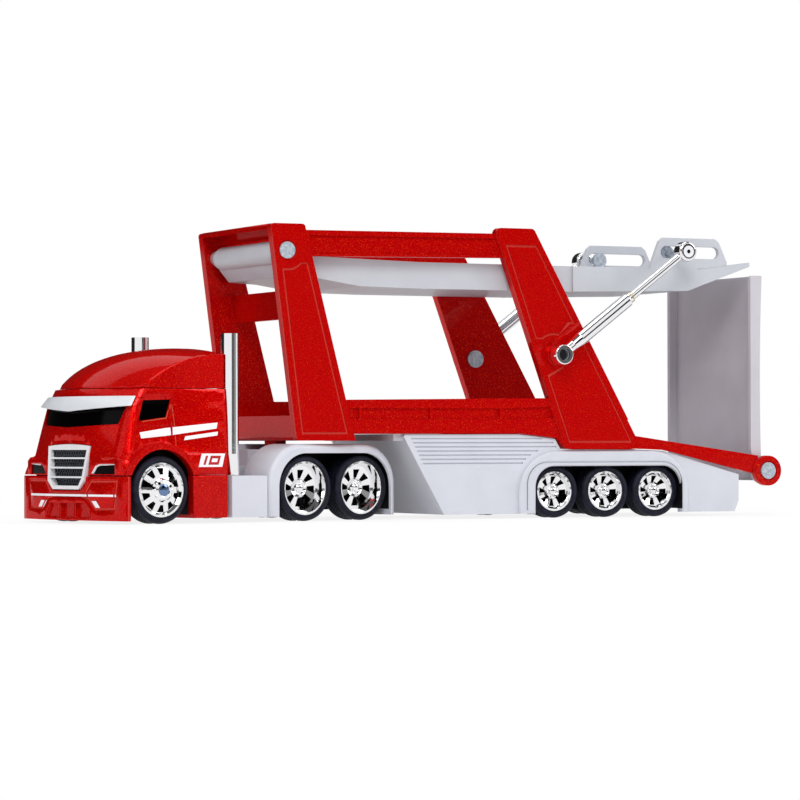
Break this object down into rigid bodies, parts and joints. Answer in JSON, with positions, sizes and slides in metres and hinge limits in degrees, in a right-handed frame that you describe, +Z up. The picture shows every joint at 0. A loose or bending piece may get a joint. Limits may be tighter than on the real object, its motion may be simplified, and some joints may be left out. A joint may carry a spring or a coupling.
{
  "type": "toy articulated car transporter truck",
  "caption": "Die-cast toy articulated truck with a two-deck car-carrier trailer: tilting upper deck on slotted struts, folding tail ramp, steerable hitch and free-rolling wheels",
  "frame": {"origin": "middle of the footprint of the lorry as it stands, on the ground", "axes": "+X along the trailer to its rear, +Y to the truck's right, +Z up; the tractor is turned 13 degrees on the kingpin as in the picture"},
  "size_m": [0.1915, 0.0623, 0.0708],
  "materials": {
    "red_paint": "metallic gloss",
    "silver_grey": "satin",
    "deck_grey": "satin",
    "chrome": "bright plated",
    "dark_glass": "gloss",
    "black_plastic": "satin",
    "tyre": "matte",
    "steel": "dull"
  },
  "bodies": {
    "trailer": {"side_frame_left": "red_paint", "side_frame_right": "red_paint", "front_top_bar": "red_paint", "front_mid_bar": "red_paint", "neck_floor": "red_paint", "lower_body": "silver_grey", "trailer_bogie": "black_plastic", "deck_pivot_pins": "steel", "strut_pivot_pins": "steel", "ramp_pivot_pins": "steel"},
    "tractor": {"tractor_chassis": "silver_grey", "fender_left": "silver_grey", "fender_right": "silver_grey", "cab_skirt_left": "red_paint", "cab_skirt_right": "red_paint", "stack_left": "chrome", "stack_right": "chrome", "cab_shell": "red_paint", "roof_fairing": "red_paint", "cab_glazing": "dark_glass", "front_bumper": "red_paint", "sun_visor": "chrome", "grille_frame": "chrome", "grille_mesh": "black_plastic", "headlamps": "dark_glass"},
    "upper_deck": {"upper_deck": "deck_grey", "deck_bracket_left": "deck_grey", "deck_bracket_right": "deck_grey"},
    "strut_left": {"strut_left": "chrome", "slot_pin_left": "steel"},
    "strut_right": {"strut_right": "chrome", "slot_pin_right": "steel"},
    "ramp": {"ramp": "deck_grey"},
    "steer_wheels": {"steer_axle": "steel", "steer_rims": "chrome", "steer_tyres": "tyre"},
    "drive_front_wheels": {"drive_front_axle": "steel", "drive_front_rims": "chrome", "drive_front_tyres": "tyre"},
    "drive_rear_wheels": {"drive_rear_axle": "steel", "drive_rear_rims": "chrome", "drive_rear_tyres": "tyre"},
    "trailer_front_wheels": {"trailer_front_axle": "steel", "trailer_front_rims": "chrome", "trailer_front_tyres": "tyre"},
    "trailer_mid_wheels": {"trailer_mid_axle": "steel", "trailer_mid_rims": "chrome", "trailer_mid_tyres": "tyre"},
    "trailer_rear_wheels": {"trailer_rear_axle": "steel", "trailer_rear_rims": "chrome", "trailer_rear_tyres": "tyre"}
  },
  "joints": [
    {"name": "fifth_wheel_turn", "type": "hinge", "parent": "trailer", "child": "tractor", "pos_m": [-0.034, 0.003, 0], "axis": [0, 0, 1], "range_deg": [-53, 27]},
    {"name": "steer_spin", "type": "hinge", "parent": "tractor", "child": "steer_wheels", "pos_m": [-0.08076, -0.00783, 0.0078], "axis": [-0.2256, 0.9742, 0], "continuous": true},
    {"name": "drive_front_spin", "type": "hinge", "parent": "tractor", "child": "drive_front_wheels", "pos_m": [-0.04025, 0.00155, 0.0078], "axis": [-0.2256, 0.9742, 0], "continuous": true},
    {"name": "drive_rear_spin", "type": "hinge", "parent": "tractor", "child": "drive_rear_wheels", "pos_m": [-0.0238, 0.00536, 0.0078], "axis": [-0.2256, 0.9742, 0], "continuous": true},
    {"name": "trailer_front_spin", "type": "hinge", "parent": "trailer", "child": "trailer_front_wheels", "pos_m": [0.0321, 0.003, 0.00653], "axis": [0, 1, 0], "continuous": true},
    {"name": "trailer_mid_spin", "type": "hinge", "parent": "trailer", "child": "trailer_mid_wheels", "pos_m": [0.0464, 0.003, 0.00653], "axis": [0, 1, 0], "continuous": true},
    {"name": "trailer_rear_spin", "type": "hinge", "parent": "trailer", "child": "trailer_rear_wheels", "pos_m": [0.0607, 0.003, 0.00653], "axis": [0, 1, 0], "continuous": true},
    {"name": "upper_deck_tilt", "type": "hinge", "parent": "trailer", "child": "upper_deck", "pos_m": [-0.0406, 0.003, 0.0641], "axis": [0, 1, 0], "range_deg": [0, 20]},
    {"name": "strut_left_swing", "type": "hinge", "parent": "trailer", "child": "strut_left", "pos_m": [0.03085, -0.0233, 0.03995], "axis": [0, 1, 0], "range_deg": [0, 58]},
    {"name": "strut_right_swing", "type": "hinge", "parent": "trailer", "child": "strut_right", "pos_m": [0.03085, 0.0293, 0.03995], "axis": [0, 1, 0], "range_deg": [0, 58]},
    {"name": "ramp_swing", "type": "hinge", "parent": "trailer", "child": "ramp", "pos_m": [0.0922, 0.003, 0.0113], "axis": [0, 1, 0], "range_deg": [0, 103]}
  ],
  "couplings": [
    {"joint": "strut_left_swing", "follows": "upper_deck_tilt", "ratio": 2.83},
    {"joint": "strut_right_swing", "follows": "upper_deck_tilt", "ratio": 2.83}
  ]
}
